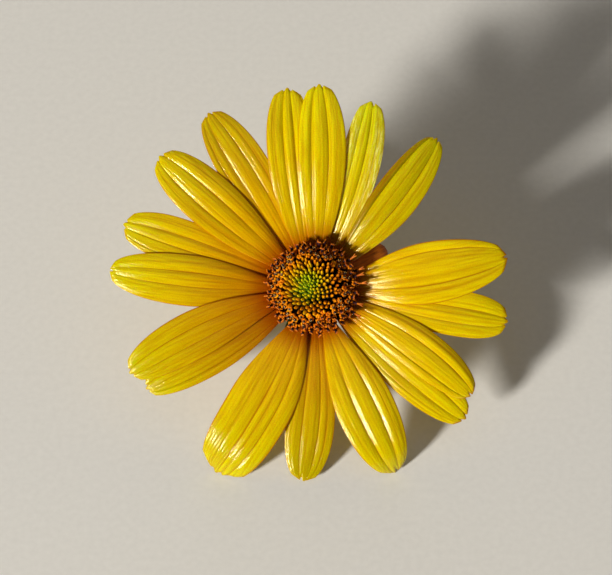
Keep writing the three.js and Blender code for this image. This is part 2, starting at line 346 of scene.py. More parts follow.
PLAIN_PETAL = dict(
    waist=1,  # the more, the slenderer it is before its widest place
    blunt=2.2,  # how square its end is; 2 is an ellipse
    end=0.22,  # width of its tip, as a share of the greatest width
    lift=0,  # how far the whole petal is raised
    sag=0,  # how far its tip bends down
    hook=1,  # over 1, it turns aside mostly near its tip
    crest=0.6,  # share of its length where it stands highest
    spring=0.3,  # how far it springs up from its root, besides its rise
    creases=(-0.3, 0.33),  # places of the two creases
    lesser=(),  # places of lesser creases
    fold=0.26,  # height of the folds over the creases
    twist=0,  # how far the clockwise edge is raised and the other one lowered
    roll=(0.05, 0.05),  # how far the clockwise and the anticlockwise edge roll down
    notches=((-0.33, 0.4), (0.33, 0.4)),  # places and depths of the gaps between the teeth
    crinkle=0,  # height of the fine wrinkles at the tip
    frost=0,  # how strongly pale specks of painted sheen cover it
    browned=0,  # how much darker the outer fold on its anticlockwise side is
    tanned=0.2,  # how brown the rim of its tip is
    tone=(0.1, 1.0),  # colour at the root and at the tip, from orange at 0 to green yellow at 1.25
    # light is painted light and shade: each petal's colour made lighter or darker to match how lit it looks
    light=(1, 1),  # how light that colour is at the root and at the tip
)


def petal(root, tip, reach, width, full, **look):
    """Root and tip are the angles of its ends in degrees, reach its tip's distance from the axis,
    width its greatest width, and full the distance from the axis where it has that width."""
    return PLAIN_PETAL | dict(root=root, tip=tip, reach=reach, width=width, full=full) | look


PETALS = [
    petal(6, 9.3, 31.5, 9.9, 18.9, blunt=1.9, lift=1.5, spring=0.5, creases=(-0.4, 0.68),
          lesser=(-0.62, -0.1, 0.38), notches=((0.05, 0.6),), tanned=0.9, tone=(0.58, 0.9),
          light=(1.08, 1.2)),
    petal(44, 50.5, 31.2, 7.2, 20.0, waist=1.3, blunt=2.0, lift=1.35, spring=0.4, creases=(-0.28, 0.68),
          lesser=(-0.57, 0.2), fold=0.5, twist=-0.4, roll=(0.0, 0.4), browned=0.45, tone=(0.7, 1.15),
          light=(0.85, 0.95)),
    petal(64, 72.6, 31.4, 6.4, 21.6, waist=1.1, end=0.3, lift=0.7, spring=0.55, creases=(-0.13, 0.42),
          lesser=(-0.6,), notches=((-0.3, 0.6),), fold=0.32, twist=0.2, frost=1, tone=(0.6, 1.35),
          light=(0.85, 1.2)),
    petal(83, 88.3, 32.7, 7.7, 22.4, blunt=2.1, end=0.25, lift=1.6, creases=(-0.26, 0.46),
          lesser=(-0.62,), fold=0.34, twist=-0.3, roll=(0.1, 0.1), tone=(0.6, 1.1), light=(0.98, 1.25)),
    petal(102.5, 97.3, 32.4, 7.5, 22.4, end=0.3, lift=0.85, creases=(-0.2, 0.27), lesser=(0.75, -0.85),
          fold=0.36, roll=(0.1, -0.1), tone=(0.6, 1.0), light=(1, 1.1)),
    petal(118, 120.9, 32.8, 8.0, 22.0, waist=0.9, blunt=2.1, lift=0.2, creases=(-0.28, 0.38),
          lesser=(-0.66, 0.75), fold=0.22, roll=(0.05, -0.2), tone=(0.4, 0.8), light=(1.15, 0.82)),
    petal(140, 139.3, 32.5, 8.5, 22.0, lift=1.0, creases=(-0.29, 0.38), lesser=(-0.68, 0.7), fold=0.34,
          roll=(0.3, -0.1), tone=(0.3, 1.0)),
    petal(160, 161.2, 32.1, 7.5, 23.0, waist=1.1, blunt=2.1, end=0.3, lift=0.25, creases=(-0.27, 0.25),
          lesser=(0.73, -0.75), roll=(0.05, -0.1), tone=(0.05, 1.1)),
    petal(178, 174.8, 32.7, 8.2, 20.0, waist=1.2, end=0.16, lift=0.95, creases=(-0.32, 0.24),
          notches=((0, 0.6),), roll=(0.25, -0.05), tone=(0.1, 1.15)),
    petal(197, 204.8, 32.3, 7.7, 20.8, waist=1.2, end=0.25, lift=1.85, creases=(-0.27, 0.33),
          lesser=(0.68,), fold=0.3, tone=(0, 1.1), light=(0.94, 0.88)),
    petal(213.5, 211, 31.2, 6.9, 19.2, end=0.25, lift=0.9, creases=(-0.35, 0.63), lesser=(0.1,),
          fold=0.34, tone=(0, 1.1), light=(0.85, 0.88)),
    petal(249.5, 242.2, 33.5, 10.6, 20.8, blunt=3.0, end=0.36, lift=1.35, sag=2.2, creases=(0, 0.5),
          lesser=(-0.42, 0.22), notches=((-0.3, 0.4), (0.2, 0.5), (0.62, 0.3)), fold=0.24,
          roll=(0.05, 0.3), crinkle=0.045, tone=(0.35, 1.1), light=(1.26, 0.93)),
    petal(272.5, 266.8, 30.9, 7.8, 22.4, waist=1.2, blunt=2.1, lift=0.25, sag=-0.6,
          creases=(-0.34, 0.35), lesser=(0.68,), notches=((-0.15, 0.6),), fold=0.22, twist=0.25,
          tone=(0.2, 1.0), light=(1.12, 0.78)),
    petal(293, 294.3, 32.4, 9.4, 21.1, waist=1.3, blunt=2.1, lift=1.05, crest=0.7, sag=2.78,
          creases=(-0.31, 0.35), lesser=(0.66,), notches=((0.15, 0.6),), fold=0.36, roll=(0.05, 0.25),
          tone=(0.5, 1.05), light=(1.12, 1)),
    petal(319, 319.5, 32.2, 7.7, 20.8, end=0.25, lift=0.3, crest=0.68, sag=0.6, creases=(-0.34, 0.28),
          lesser=(-0.68,), fold=0.32, tanned=0.7, tone=(0.65, 0.95), light=(1.05, 1.12)),
    petal(333.5, 326, 30.6, 7.0, 20.4, lift=1.4, hook=1.4, crest=0.68, sag=0.6, creases=(-0.62, 0.3),
          lesser=(0.72,), notches=((0, 0.5),), fold=0.3, roll=(0.15, 0.4), tanned=0.7,
          tone=(0.55, 0.85), light=(1.15, 1.05)),
    petal(350, 350.4, 31.7, 7.4, 23.5, waist=1.2, blunt=2.4, lift=0.45, creases=(-0.42, 0.25),
          lesser=(-0.02,), tanned=0.5, tone=(0.55, 0.95), light=(1.15, 1.12)),
]
print(len(PETALS), "grown petals")

# %% [markdown]
# Seen from the front, the outline is a quarter wave from the root to the widest place, and a blunt
# half ellipse from there to the tip, with a notch between each two teeth. Seen from the side, the
# petal springs from its root, rises to a crest and may bend down at its very end. Each petal could
# be modelled by hand, but with formulas all of them share one recipe and keep their own measures.

# %% A petal's outline and line
NOTCH_WIDTH = 0.13  # of half the petal's width
BEND_POWER = 4  # a high power keeps the bend to the petal's very end


def petal_width(p, radius):
    back = np.clip((p["full"] - radius) / (p["full"] - PETAL_ROOT), 0, 1)
    inner = mix(CLAW_WIDTH, p["width"], np.cos(back * np.pi / 2) ** p["waist"])
    cut = (1 - p["end"] ** p["blunt"]) ** (1 / p["blunt"])
    out = np.clip(cut * (radius - p["full"]) / (p["reach"] - p["full"]), 0, cut)
    outer = p["width"] * (1 - out ** p["blunt"]) ** (1 / p["blunt"])
    return np.where(radius <= p["full"], inner, outer)


def petal_radius(p, u, v):
    """Distance from the flower's axis, which ends in the teeth at u = 1."""
    end = p["reach"] - p["end"] * p["width"] * v**2 / 2
    for place, depth in p["notches"]:
        end = end - depth * np.exp(-(((v - place) / NOTCH_WIDTH) ** 2))
    return mix(PETAL_ROOT, end, u)


def petal_share(p, u, v):
    """How far out a place is, from 0 at the root to 1 at the tip."""
    return (petal_radius(p, u, v) - PETAL_ROOT) / (p["reach"] - PETAL_ROOT)


def petal_middle(p, u, v):
    share = petal_share(p, u, v)
    angle = np.radians(mix(p["root"], p["tip"], np.maximum(share, 0) ** p["hook"]))
    climb = 1 - (1 - share / p["crest"]) ** 2
    bend = p["sag"] * np.clip((share - p["crest"]) / (1 - p["crest"]), 0, None) ** BEND_POWER
    lift = p["lift"] - p["spring"] * (1 - smooth(0, SPRING_END, share))
    return polar(petal_radius(p, u, v), angle, PETAL_FOOT + lift + PETAL_RISE * climb - bend)


print("the first petal's tip is", round(float(petal_width(PETALS[0], PETALS[0]["reach"])), 1), "mm wide")

# %% [markdown]
# Each fold is a low arch across the petal, and neighbouring arches meet in a sharp crease. Lesser
# creases and ribs run along with them. The edges roll down and ripple, and one petal is crinkled
# near its tip. All of this is real geometry, because its shading is what makes a petal look folded.
# Only the fine veins are left to the material. A brown gathers in the creases and between the ribs,
# partly pigment and partly painted shade, and along the whole rim as a painted shade that stands for
# the thin shadows where petals overlap.

# %% A petal's folds
FOLD_POWER = 2.5  # 2 is a plain arch; more makes its top flatter and its sides steeper
FOLD_MIDDLE = 0.66  # about the mean height of such an arch, which lies on the petal's line
EDGE_FALL = 0.25  # how far the outer folds fall to the edges, as a share of the creases' depth
CREASE_SOFTNESS, CREASE_WIDTH = 0.06, 0.2  # how blunt a crease is, and how far its brown reaches
LESSER_DEPTH, LESSER_WIDTH = 0.07, 0.05  # in mm, and as a share of half the petal's width
GROWING, FADING = (0.05, 0.52), (0.8, 1)  # where along it the folds grow, and where they flatten
ROOT_FOLDS, TIP_FOLDS = 0.35, 0.6  # how high they are at its ends, as shares of the full height
RIBS = (5.3, 8.9, 13.1)  # lesser ribs across half a petal, in three sizes
RIB_HEIGHT, RIB_DRIFT = 0.024, 0.15  # how high they are, and how far they wander sideways
ROLLED_FROM, ROLL_POWER = 0.55, 1.5  # where across it the roll begins, and how late it deepens
RIPPLE, RIPPLES, RIPPLING = 0.12, 1.4, (0.2, 0.6)  # height and number of the edges' slow waves
CRINKLES, CRINKLE_SLANT = 9, 30  # waves across half a petal, and how they lean along it
CRINKLING, CRINKLED_SIDE = (0.74, 0.88), (0.4, -0.1)  # where along and across it they come in
LESSER_BROWN, RIB_BROWN, RIM_BROWN = 0.5, 0.3, 0.8  # brown of pigment and painted shade, against 1 in the two creases; at the rim it is painted shade
RIM, OUTER_FOLD = (0.94, 1), (0.66, 0.76)  # where across it these begin


def petal_ribs(v, share, phases):
    drift = RIB_DRIFT * np.sin(2 * np.pi * share + phases[0])
    return sum(
        RIB_HEIGHT / n**0.5 * np.cos(np.pi * n * (v + drift / n) + a) for n, a in zip(RIBS, phases[1:4])
    )


def petal_edges(p, v, share, phases):
    """How the rolled and rippled edges and the crinkles raise the surface."""
    roll = np.where(v < 0, *p["roll"]) * smooth(ROLLED_FROM, 1, np.abs(v)) ** ROLL_POWER
    waves = np.sin(2 * np.pi * RIPPLES * share + phases[4])
    crinkles = np.sin(2 * np.pi * CRINKLES * v + CRINKLE_SLANT * share + phases[5])
    crinkled = p["crinkle"] * smooth(*CRINKLING, share) * smooth(*CRINKLED_SIDE, v)
    return RIPPLE * v * np.abs(v) * waves * smooth(*RIPPLING, share) - roll + crinkled * crinkles


def petal_height(p, v, share, chance):
    """Height of the surface over the petal's line, and its brown from 0 to 1, pigment and painted shade."""
    phases = chance.uniform(0, 2 * np.pi, 6)
    grown = mix(ROOT_FOLDS, 1, smooth(*GROWING, share)) * mix(1, TIP_FOLDS, smooth(*FADING, share))
    even = np.abs(np.interp(v, [-1, *p["creases"], 1], [-1, -1 / 3, 1 / 3, 1]))
    across = 3 * np.where(even < 1 / 3, even, np.abs(even - 2 / 3))
    arch = 1 - across**FOLD_POWER * np.where(even > 2 / 3, EDGE_FALL, 1)
    folds = p["fold"] * (np.sqrt(arch**2 + CREASE_SOFTNESS**2) - FOLD_MIDDLE)
    lesser = sum((np.exp(-np.abs(v - place) / LESSER_WIDTH) for place in p["lesser"]), 0 * v)
    ribs = petal_ribs(v, share, phases)
    height = (folds - LESSER_DEPTH * lesser) * grown + ribs + petal_edges(p, v, share, phases)
    # brown in the creases and rib valleys is pigment and painted shade; at the rim it is painted shade
    pigment_and_shade = np.exp(-((arch / CREASE_WIDTH) ** 2)) + LESSER_BROWN * lesser
    pigment_and_shade = pigment_and_shade + RIB_BROWN * smooth(0, -RIB_HEIGHT, ribs) + RIM_BROWN * smooth(*RIM, np.abs(v))
    pigment_and_shade = pigment_and_shade + p["browned"] / 2 * smooth(*OUTER_FOLD, v)
    return height - PETAL_ARCH * v**2 - p["twist"] * v, np.clip(pigment_and_shade * grown, 0, 1)


print("the folds of petal 2 stand", PETALS[1]["fold"], "mm over its creases")

# %% [markdown]
# A grid of places along and across the petal turns all of this into points. Its rows lie closer
# near the tip and its columns closer near the edges, where the shape bends most. The root goes on a
# little into the cup, as a real petal's does.

# %% A petal's sheet
ALONG, ACROSS = 80, 96  # faces along and across a petal
HELD = -0.018  # the root goes on this far into the cup, as a share of the length
TIP_CROWDING, EDGE_CROWDING = 1.3, 0.6  # how much closer the rows and the columns get there
TANNED_FROM = 0.975  # share of the length where the brown rim of the tip begins


def petal_sheet(p, chance):
    """The petal's points, and the numbers that its material reads."""
    t = mix(HELD, 1, np.linspace(0, 1, ALONG + 1))
    s = np.linspace(-1, 1, ACROSS + 1)
    u, v = np.meshgrid(
        1 - (1 - t) ** TIP_CROWDING, mix(s, np.sin(s * np.pi / 2), EDGE_CROWDING), indexing="ij",
    )
    share = petal_share(p, u, v)
    width = petal_width(p, petal_radius(p, u, v))
    height, pigment_and_shade = petal_height(p, v, share, chance)
    points = strip(
        u, v, lambda a, b: petal_middle(p, a, b), v * width / 2, height * width / p["width"],
        PETAL_THICKNESS / 2 * thinned(u, v, sides=0.25, tip=0.3, tip_from=0.97),
    )
    crease = np.clip(pigment_and_shade + p["tanned"] * smooth(TANNED_FROM, 1, u), 0, 1)
    # painted light and shade per petal, darker over the darker outer fold
    light = mix(*p["light"], share) * (1 - p["browned"] * smooth(*OUTER_FOLD, v))
    return points, share, v * width / 2, crease, light


print("a petal has", len(sheet_faces(ALONG + 1, ACROSS + 1)), "faces")

# %% [markdown]
# A fresh petal is a thin film of wet cells under wax. Its colour is deepest orange at the root and
# in the creases, there partly pigment and partly painted shade, and clears to a cool, slightly green
# yellow at the tip. Each petal's colour is also made lighter or darker, as painted light and shade
# that matches how lit it looks. The wax gives a fairly sharp highlight, which the veins break into
# streaks along the petal. Some light goes into the film and comes out again, so the shader scatters
# a little under the surface. On one petal, pale specks painted into the colour stand for the sheen
# of its wax, as a painted highlight. Veins and these specks are noise drawn out along the petal,
# because no two veins are alike, and a wave texture would look combed.

# %% The petals' material
VEIN_SPACING = 0.35  # mm between the finest veins
VEIN_RUN = 6.0  # mm over which one vein stays the same
CELL_SIZE = 0.2  # mm across a patch of cells; single cells are finer than the picture shows
SHEEN_SPACING, SHEEN_RUN = 0.3, 2.4  # mm across and along a speck of painted sheen
WAX_SPACING, WAX_RUN = 0.7, 5.0  # mm across and along a patch of thicker wax
RELIEF = 0.1  # mm by which veins stand out
SCATTER = 0.5  # mm that light goes on inside the petal
# the root's and the creases' browns are partly pigment and partly painted shade
ROOT_BROWN, CREASE_BROWN, SHEEN_WHITE = "#A84400", "#A85400", "#F4F288"


def streaks(tree, spacing, run, detail):
    """Noise drawn out along the petal: its streaks lie spacing apart and are run long, in mm."""
    place = node(tree, "ShaderNodeAttribute", attribute_name="place")
    drawn = node(tree, "ShaderNodeVectorMath", {
        0: (place, "Vector"), 1: (1 / spacing, 1 / run, 1),
    }, operation="MULTIPLY")
    return node(tree, "ShaderNodeTexNoise", {
        "Vector": (drawn, "Vector"), "Scale": 1.0, "Detail": detail, "Roughness": 0.6,
    })


def petal_skin():
    """Waxy petal: yellow, with brown creases and root of pigment and painted shade, painted light and shade
    per petal, glossy in streaks, and a little translucent.
    """
    material, tree = new_material("waxy_yellow_petal")
    tone, root, crease, frost, light = (
        node(tree, "ShaderNodeAttribute", attribute_name=name)
        for name in ("tone", "root", "crease", "frost", "light")
    )
    body = node(tree, "ShaderNodeValToRGB", {"Fac": (tone, "Fac")}, [
        (0.0, "#D06E00"), (0.2, "#D89400"), (0.4, "#DCAF00"),
        (0.6, "#DCC200"), (0.8, "#D8CB00"), (1.0, "#D0D000"),
    ])
    veins = streaks(tree, VEIN_SPACING, VEIN_RUN, 3.0)
    cells = streaks(tree, CELL_SIZE, CELL_SIZE, 1.0)
    grain = node(tree, "ShaderNodeMath", {
        0: (cells, "Fac"), 1: 0.5, 2: (veins, "Fac"),
    }, operation="MULTIPLY_ADD")
    # lit: the colour scaled by the painted light and shade of each petal
    lit = node(tree, "ShaderNodeVectorMath", {
        0: (body, "Color"), "Scale": (light, "Fac"),
    }, operation="SCALE")
    glaze = shaded(tree, (lit, "Vector"), (grain, "Value"), 0.5, (0.52, "#D09A50"), (0.88, "#FFFFFF"))
    groove_share = node(tree, "ShaderNodeMath", {0: (crease, "Fac"), 1: 0.85}, operation="MULTIPLY")
    sheen_specks = streaks(tree, SHEEN_SPACING, SHEEN_RUN, 4.0)
    speck_share = node(tree, "ShaderNodeMapRange", {
        "Value": (sheen_specks, "Fac"), "From Min": 0.48, "From Max": 0.66, "To Min": 0.05, "To Max": 0.8,
    })
    # painted sheen: pale specks mixed into the colour as a painted highlight
    painted_sheen_share = node(tree, "ShaderNodeMath", {
        0: (frost, "Fac"), 1: (speck_share, "Result"),
    }, operation="MULTIPLY")
    # browns of pigment and painted shade at the root and in the creases, then the painted sheen
    for share, colour in (
        ((root, "Fac"), ROOT_BROWN), ((groove_share, "Value"), CREASE_BROWN),
        ((painted_sheen_share, "Value"), SHEEN_WHITE),
    ):
        glaze = node(tree, "ShaderNodeMix", {"Factor": share, 6: glaze, 7: colour}, data_type="RGBA"), 2
    relief = node(tree, "ShaderNodeBump", {
        "Height": (grain, "Value"), "Strength": 0.6, "Distance": RELIEF * MM,
    })
    wax = streaks(tree, WAX_SPACING, WAX_RUN, 2.0)
    gloss = node(tree, "ShaderNodeMapRange", {
        "Value": (wax, "Fac"), "From Min": 0.38, "From Max": 0.62, "To Min": 0.08, "To Max": 0.2,
    })
    shader = node(tree, "ShaderNodeBsdfPrincipled", {
        "Base Color": glaze,
        "Roughness": (gloss, "Result"),
        "IOR": 1.42,
        "Specular Tint": "#FFF8C8",
        "Subsurface Weight": 0.45,
        "Subsurface Radius": (1.2, 0.5, 0.05),
        "Subsurface Scale": SCATTER * MM,
        "Normal": (relief, "Normal"),
    })
    return finished(material, shader)


petal_material = petal_skin()
print(petal_material.name, "has", len(petal_material.node_tree.nodes), "nodes")

# %% [markdown]
# Each petal gets its own seeded chance, so its veins and ripples differ from its neighbours' but
# come out the same every time. After each one, the distance to the plain petal is measured.

# %% Making the petals
GREENEST = 1.25  # the tone at the end of the colour ramp
BROWN_ROOT = (0.02, 0.24)  # shares of the length over which the root's brown, pigment and painted shade, fades
SHEEN_BEGINS = (0.1, 0.4)  # shares of the length over which the painted sheen begins
SHEEN_REACH = 2.2  # mm from the middle line to where the painted sheen is full
APART = 20  # mm between two petals' places in the noise
MEASURED = 17  # only each 17th point is measured, to save time


def compare(piece, solid):
    """Prints how far a piece's points are at most from the plain solid that it replaces."""
    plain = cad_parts[solid].data
    tree = BVHTree.FromPolygons([v.co for v in plain.vertices], [p.vertices for p in plain.polygons])
    furthest = max(tree.find_nearest(v.co)[3] for v in list(piece.data.vertices)[::MEASURED])
    print(piece.name, "lies within", round(furthest / MM, 2), "mm of its plain solid")


for number, p in enumerate(PETALS, 1):
    points, share, aside, crease, light = petal_sheet(p, np.random.default_rng(number))
    along_mm = share * (p["reach"] - PETAL_ROOT)
    spot = np.stack([aside, along_mm, np.full_like(aside, APART * number)], -1)
    # the specks of painted sheen, strongest away from the middle line
    sheen_specks = p["frost"] * smooth(*SHEEN_BEGINS, share) * (aside / SHEEN_REACH) ** 2
    solid = f"ray_petal_{number:02d}"
    piece = new_sheet(
        f"petal_{number:02d}", share.shape, points, petal_material, "petal", solid,
        tone=mix(*p["tone"], share) / GREENEST, root=1 - smooth(*BROWN_ROOT, share),
        crease=crease, light=light, place=spot, frost=sheen_specks,
    )
    compare(piece, solid)

# %% [markdown]
# One petal stopped growing when it was a third of the length of the others. It has dried from the
# edges, so it is leathery, brown at the rim and dull orange in the middle, and it has cupped. It is
# a strip like the others, with a curve of its own.

# %% The stunted petal
STUNTED = dict(angle=28, reach=13.3, width=3.6, lift=0.1, rise=0.6, drop=1.8, arch=0.35)
STUNTED_ROWS, STUNTED_COLUMNS = 48, 32
STUNTED_HELD = -0.05  # the share of its length that is held in the cup
STUNTED_ROUNDING = 0.6  # its end rounds off from this share of its length
STUNTED_END = 0.3  # to this share of its width
SHRIVELLED, PLEATED = 0.05, 0.09  # heights of its wrinkles and of its three pleats
WRINKLED, WRINKLE_SLANT, PLEATS = 9, 3, 1.5  # radians of them across and along it; pleats a half


def grid(rows, columns, low=0, high=1):
    """Places along a strip, from low to high, and across it, from -1 to 1."""
    along, across = np.linspace(low, high, rows + 1), np.linspace(-1, 1, columns + 1)
    return np.meshgrid(along, across, indexing="ij")


def stunted_middle(u, v):
    turn = u * np.pi / 2
    radius = mix(PETAL_ROOT, STUNTED["reach"], np.sin(turn)) + 0 * v
    z = PETAL_FOOT + STUNTED["lift"] + STUNTED["rise"] * np.sin(2 * turn)
    return polar(radius, math.radians(STUNTED["angle"]), z - STUNTED["drop"] * (1 - np.cos(turn)))


print("the stunted petal is", round(STUNTED["reach"] - PETAL_ROOT, 1), "mm long")

# %% [markdown]
# Its skin has lost its wax, so it is rough and has no highlights. The colour goes from a dull orange
# in the middle over brown to a thin, lighter rim, and the veins are darker. Its oranges are painted
# light against the disc's shadow, in which it lies, and its lighter rim is a painted highlight. A
# painted picture could give that too, but a number on each point, which says how near to the rim
# it is, follows the shape by itself.

# %% Its dried skin
DRIED_SPACING, DRIED_RUN = 0.3, 2.5  # mm across and along a dried vein


def dried_skin():
    """Dried petal: leathery and without gloss, with dark veins, painted light and a painted highlight on
    its rim.
    """
    material, tree = new_material("dried_brown_petal")
    edge = node(tree, "ShaderNodeAttribute", attribute_name="edge")
    veins = streaks(tree, DRIED_SPACING, DRIED_RUN, 4.0)
    # light oranges are painted light against the disc's shadow; the bright rim is a painted highlight
    body = node(tree, "ShaderNodeValToRGB", {"Fac": (edge, "Fac")}, [
        (0.0, "#F08A18"), (0.6, "#D87414"), (0.85, "#A04C0C"), (1.0, "#FFA020"),
    ])
    veined = shaded(tree, (body, "Color"), (veins, "Fac"), 0.7, (0.3, "#8C6A50"), (0.65, "#FFFFFF"))
    relief = node(tree, "ShaderNodeBump", {
        "Height": (veins, "Fac"), "Strength": 0.6, "Distance": RELIEF * MM,
    })
    shader = node(tree, "ShaderNodeBsdfPrincipled", {
        "Base Color": veined, "Roughness": 0.62, "Normal": (relief, "Normal"),
    })
    return finished(material, shader)


def stunted_piece():
    u, v = grid(STUNTED_ROWS, STUNTED_COLUMNS, low=STUNTED_HELD)
    grown = np.sin(np.clip(u / STUNTED_ROUNDING, 0, 1) * np.pi / 2)
    past = np.maximum(u - STUNTED_ROUNDING, 0) / (1 - STUNTED_ROUNDING)
    rounded = np.sqrt(1 - past**2 * (1 - STUNTED_END**2))
    aside = v * mix(CLAW_WIDTH, STUNTED["width"], grown) * rounded / 2
    wrinkles = SHRIVELLED * np.cos(WRINKLED * v + WRINKLE_SLANT * u) * u
    shrivel = wrinkles + PLEATED * np.abs(np.cos(PLEATS * np.pi * v))
    height = -STUNTED["arch"] * v**2 + shrivel * grown
    half = PETAL_THICKNESS / 2 * thinned(u, v, sides=0.3, tip=0.3, tip_from=0.94)
    points = strip(u, v, stunted_middle, aside, height, half)
    spot = np.stack([aside, u * (STUNTED["reach"] - PETAL_ROOT), 0 * u], -1)
    edge = np.maximum(v**2, smooth(STUNTED_ROUNDING, 1, u))
    return new_sheet(
        "petal_stunted", u.shape, points, dried_skin(), "stunted_petal", "ray_petal_stunted",
        edge=edge, place=spot,
    )


compare(stunted_piece(), "ray_petal_stunted")

# %% [markdown]
# ## The disc
# A disc is hundreds of tiny flowers on a dome. Each new one starts in the middle, a golden angle
# round from the one before it, and is pushed outwards as it ripens. So one count from the middle
# gives both the place of a floret and its age: green buds, then yellow and orange buds, then
# florets that open, and at the rim florets with their stigmas out. The outermost lean well out over
# the petals' roots.

# %% Where the florets stand
FLORETS = 300
GOLDEN_ANGLE = math.radians(137.508)
CROWDING = 0.66  # the florets in the middle stand closer than those at the rim
DISC_RADIUS, DISC_TOP, DISC_RIM = 7.6, 7.1, 2.8  # radius and heights of the florets' tips
CUP_RADIUS, RECEPTACLE_RIM = 4.9, -0.3  # radius and height of the outermost florets' feet
FEET_POWER, TIPS_POWER = 2.6, 2  # how the dome of the feet and that of the tips fall off
DISC_HEART = np.array([-0.8, 0.8, 0])  # the spiral's middle, beside the disc's
TURN_CHANCE, REACH_CHANCE = 0.03, 0.03  # how far angles, in radians, and lengths stray
SWAY = 0.07  # mm by which the tips stand out of line
UNEVENNESS = 0.05  # by how much a floret is riper or less ripe than its place says
SHADED_SIDE = 0.12  # the florets at the right, on the shaded side, are painted riper and so darker than those at the left by this share, as painted shade
WHORLS = {  # the share of the disc's radius where each whorl ends
    "floret_buds_green": 0.26, "floret_buds_yellow": 0.46, "floret_buds_orange": 0.64,
    "florets_opening": 0.82, "florets_open": 1.01,
}


def in_disc(share, raised, angle):
    """A place in the disc, raised from the receptacle (0) to the florets' tips (1)."""
    radius = share * mix(CUP_RADIUS, DISC_RADIUS, raised)
    low = mix(RECEPTACLE_TOP, RECEPTACLE_RIM, share**FEET_POWER)
    z = mix(low, mix(DISC_TOP, DISC_RIM, share**TIPS_POWER), raised)
    drawn = (1 - share**2) * raised
    return np.array([radius * math.cos(angle), radius * math.sin(angle), z]) + DISC_HEART * drawn


chance = np.random.default_rng(41)
stands = []
for i in range(FLORETS):
    share = ((i + 0.5) / FLORETS) ** CROWDING
    angle = i * GOLDEN_ANGLE + chance.normal(0, TURN_CHANCE)
    foot = in_disc(share, 0, angle)
    tip = in_disc(share, 1 + chance.normal(0, REACH_CHANCE), angle) + chance.normal(0, SWAY, 3)
    whorl = next(name for name, end in WHORLS.items() if share < end)
    # the right side's extra ripeness is painted shade, which darkens its colour
    ripeness = share * (1 + SHADED_SIDE * math.cos(angle)) + chance.normal(0, UNEVENNESS)
    stands.append(dict(whorl=whorl, share=share, ripeness=ripeness, angle=angle, foot=foot, tip=tip))
for name in WHORLS:
    print(name, sum(stand["whorl"] == name for stand in stands), "florets")

# %% [markdown]
# A floret is drawn upright and then set on its stand. All florets of a whorl are gathered into one
# piece, as they are one plain solid. Instances of one floret would be lighter, but the model leaves
# Blender as plain meshes, and this way no two florets are alike.

# %% Clusters
def length_of(stand):
    return np.linalg.norm(stand["tip"] - stand["foot"])


class Cluster:
    """Gathers many small bodies into the points, faces and numbers of one piece."""

    def __init__(self):
        self.points, self.faces, self.height, self.ripeness, self.count = [], [], [], [], 0

    def add(self, stand, points, faces, height=None, ripeness=None):
        """Adds a body drawn upright in millimetres, turned and moved to its floret's stand."""
        axis = unit(stand["tip"] - stand["foot"])
        out = unit(np.cross(np.cross(axis, [math.cos(stand["angle"]), math.sin(stand["angle"]), 0]), axis))
        self.points.append(stand["foot"] + points @ np.array([out, np.cross(axis, out), axis]))
        self.faces += [[self.count + k for k in face] for face in faces]
        self.height.append(points[:, 2] / length_of(stand) if height is None else height)
        self.ripeness.append(np.full(len(points), stand["ripeness"] if ripeness is None else ripeness))
        self.count += len(points)

    def piece(self, name, material, slot, replaced=()):
        made = new_piece(
            name, np.concatenate(self.points), self.faces, material, slot, replaced,
            height=np.concatenate(self.height), ripeness=np.concatenate(self.ripeness),
        )
        print(name, "has", len(made.data.polygons), "faces")


clusters = {name: Cluster() for name in WHORLS}
print(len(clusters), "clusters, for florets", round(min(map(length_of, stands)), 1), "mm long and more")

# %% [markdown]
# Two shapes are enough for all parts of a floret. Its body is turned, like a pot, and dented into
# five, because it grew from five lobes. Lobes and stigmas are tubes along a curve, fleshy and thin
# ones. A Screw modifier and a bevelled curve make such shapes by hand, but hundreds of florets with
# measures of their own call for functions.

# %% Turned bodies and tubes
LOBES = 5
DENTED = (0.35, 0.9)  # shares of a body's height over which its dents deepen


def ring_faces(rings, around):
    """Faces of a tube of rings, closed by a face at each end."""
    faces = []
    for i in range(rings - 1):
        for k in range(around):
            a, b = i * around + k, i * around + (k + 1) % around
            faces.append([a, b, b + around, a + around])
    return faces + [list(range(around))[::-1], [(rings - 1) * around + k for k in range(around)]]


def turned(profile, around=15, dent=0.0):
    """A body turned round z from pairs of radius and height, dented into five towards its top."""
    radius, height = np.array(profile, float).T[:, :, None]
    angle = np.arange(around) * 2 * np.pi / around
    deep = dent * smooth(*DENTED, height / height.max()) * (0.5 - 0.5 * np.cos(LOBES * angle))
    r = radius * (1 - deep)
    return polar(r, angle, height).reshape(-1, 3), ring_faces(len(profile), around)


def tube(path, radii, around=6):
    """A thin tube along a path of points."""
    along = unit(np.gradient(path, axis=0))
    side = unit(np.cross(along, [0.3, 1, 0.2]))
    other = np.cross(along, side)
    angle = (np.arange(around) * 2 * np.pi / around)[:, None]
    ring = np.cos(angle) * side[:, None] + np.sin(angle) * other[:, None]
    return (path[:, None] + ring * radii.reshape(-1, 1, 1)).reshape(-1, 3), ring_faces(len(path), around)


print("a tube of 7 rings has", len(ring_faces(7, 6)), "faces")

# %% [markdown]
# A bud is a closed floret: a bullet on a slender foot, whose five lobes meet in a point. Five lobes
# could be modelled for it, but at this size one turned body with dents between them looks the same.

# %% Buds
BUD_SHAPE = [  # radius and height as shares of the bud's half width and length
    (0.5, 0), (0.55, 0.3), (0.78, 0.48), (0.97, 0.6), (1.0, 0.68),
    (0.94, 0.76), (0.78, 0.85), (0.54, 0.93), (0.3, 0.98), (0.1, 1.0),
]
BUD_HALF_WIDTHS = (0.25, 0.36)  # mm, in the middle and where the buds end
BUD_VARIETY = (0.85, 1.15)
BUD_DENT = 0.16
BUDS_END = WHORLS["floret_buds_orange"]

